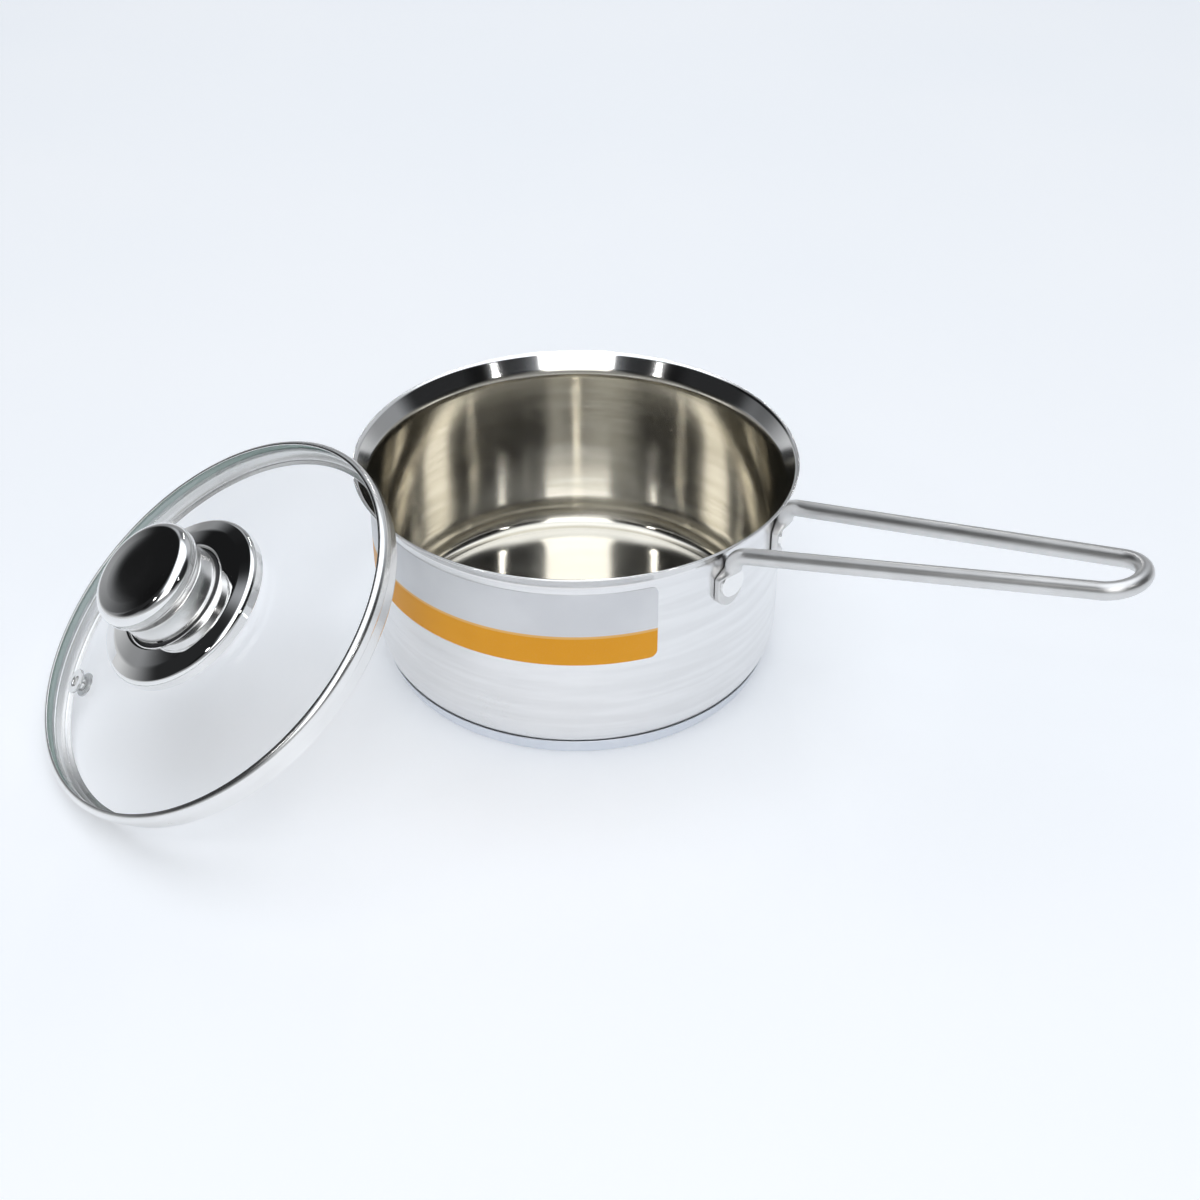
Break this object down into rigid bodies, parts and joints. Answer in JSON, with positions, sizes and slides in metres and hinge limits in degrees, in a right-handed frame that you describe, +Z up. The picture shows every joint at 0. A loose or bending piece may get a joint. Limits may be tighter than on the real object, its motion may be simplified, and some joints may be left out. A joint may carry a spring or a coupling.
{
  "type": "saucepan with glass lid",
  "caption": "Steel saucepan with a flared rim, capsule base and long wire-loop handle, with a domed glass lid leaning on its rim.",
  "frame": {"origin": "centre of the pan's base, on the surface it stands on", "axes": "+Z up through the pan, +X along the handle, +Y to the handle's left seen from above"},
  "size_m": [0.3784, 0.2813, 0.1146],
  "materials": {
    "pan_steel": "polished flare, circumferentially brushed walls",
    "core_aluminium": "as rolled",
    "base_steel": "satin, spun",
    "handle_steel": "satin polished rod",
    "rivet_steel": "polished",
    "label_paper": "printed sleeve, blank",
    "lid_glass": "clear tempered glass",
    "ring_steel": "bright rolled strip",
    "seal_rubber": "matte",
    "seal_silicone": "translucent silicone, satin",
    "eyelet_steel": "polished",
    "knob_steel": "mirror polished dish",
    "neck_steel": "polished sleeve",
    "cap_steel": "mirror polished cap",
    "black_plastic": "heat-resistant plastic",
    "insert_brass": "turned",
    "screw_steel": "plated"
  },
  "bodies": {
    "pan": {"pan_body": "pan_steel", "base_core": "core_aluminium", "base_cap": "base_steel", "handle_rod": "handle_steel", "handle_rivet_near": "rivet_steel", "handle_rivet_far": "rivet_steel", "label": "label_paper"},
    "lid": {"lid_glass": "lid_glass", "lid_ring": "ring_steel", "ring_seal": "seal_silicone", "vent_eyelet": "eyelet_steel", "vent_seal_upper": "seal_silicone", "vent_seal_lower": "seal_silicone", "knob_dish": "knob_steel", "knob_neck": "neck_steel", "knob_cap": "cap_steel", "insulating_ring": "black_plastic", "knob_core": "black_plastic", "knob_insert": "insert_brass", "knob_screw": "screw_steel", "screw_washer": "screw_steel", "under_gasket": "seal_rubber", "dish_gasket": "seal_rubber"}
  },
  "joints": [
    {"name": "lid_swing", "type": "hinge", "parent": "pan", "child": "lid", "pos_m": [0.00286, 0.07141, -0.12652], "axis": [-0.8924, 0.4012, 0.2063], "range_deg": [0, 36.5]}
  ]
}
